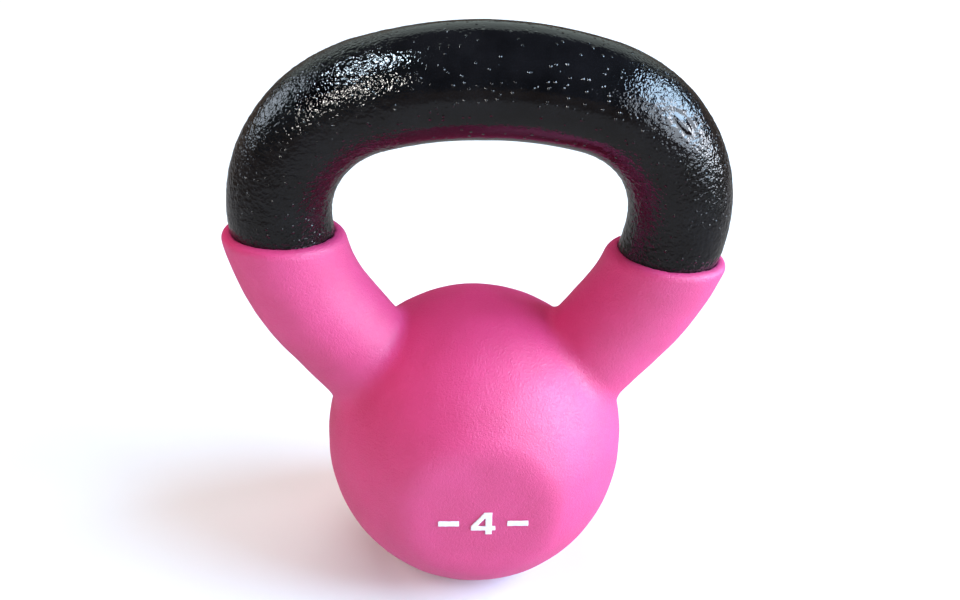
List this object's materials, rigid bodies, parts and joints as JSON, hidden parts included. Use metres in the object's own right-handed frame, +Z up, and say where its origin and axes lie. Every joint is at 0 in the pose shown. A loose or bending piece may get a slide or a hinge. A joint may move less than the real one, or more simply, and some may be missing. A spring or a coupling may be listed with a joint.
{
  "type": "kettlebell",
  "caption": "Small round kettlebell: solid iron ball with horns and a thick loop handle in black enamel, ball and horns dipped in soft pink vinyl, with flats at the front, back and base.",
  "frame": {"origin": "centre of the flat that the kettlebell stands on, straight below the centre of the ball and the middle of the grip", "axes": "+Z up, along the kettlebell's height; X along the grip, +X to the right of the mark; the mark faces -Y, so Y is through the hand gap"},
  "size_m": [0.1474, 0.0818, 0.176],
  "materials": {
    "grey_iron": "as-cast sand texture, hidden under the enamel and the vinyl",
    "black_enamel": "gloss black enamel over a pebbled sand casting",
    "pink_vinyl": "soft satin-matte vinyl with a fine leathery grain",
    "white_ink": "matte white raised print"
  },
  "bodies": {
    "root": {"iron_casting": "grey_iron", "handle_enamel": "black_enamel", "vinyl_skin": "pink_vinyl", "mark_digit": "white_ink", "mark_bar_left": "white_ink", "mark_bar_right": "white_ink"}
  },
  "joints": []
}
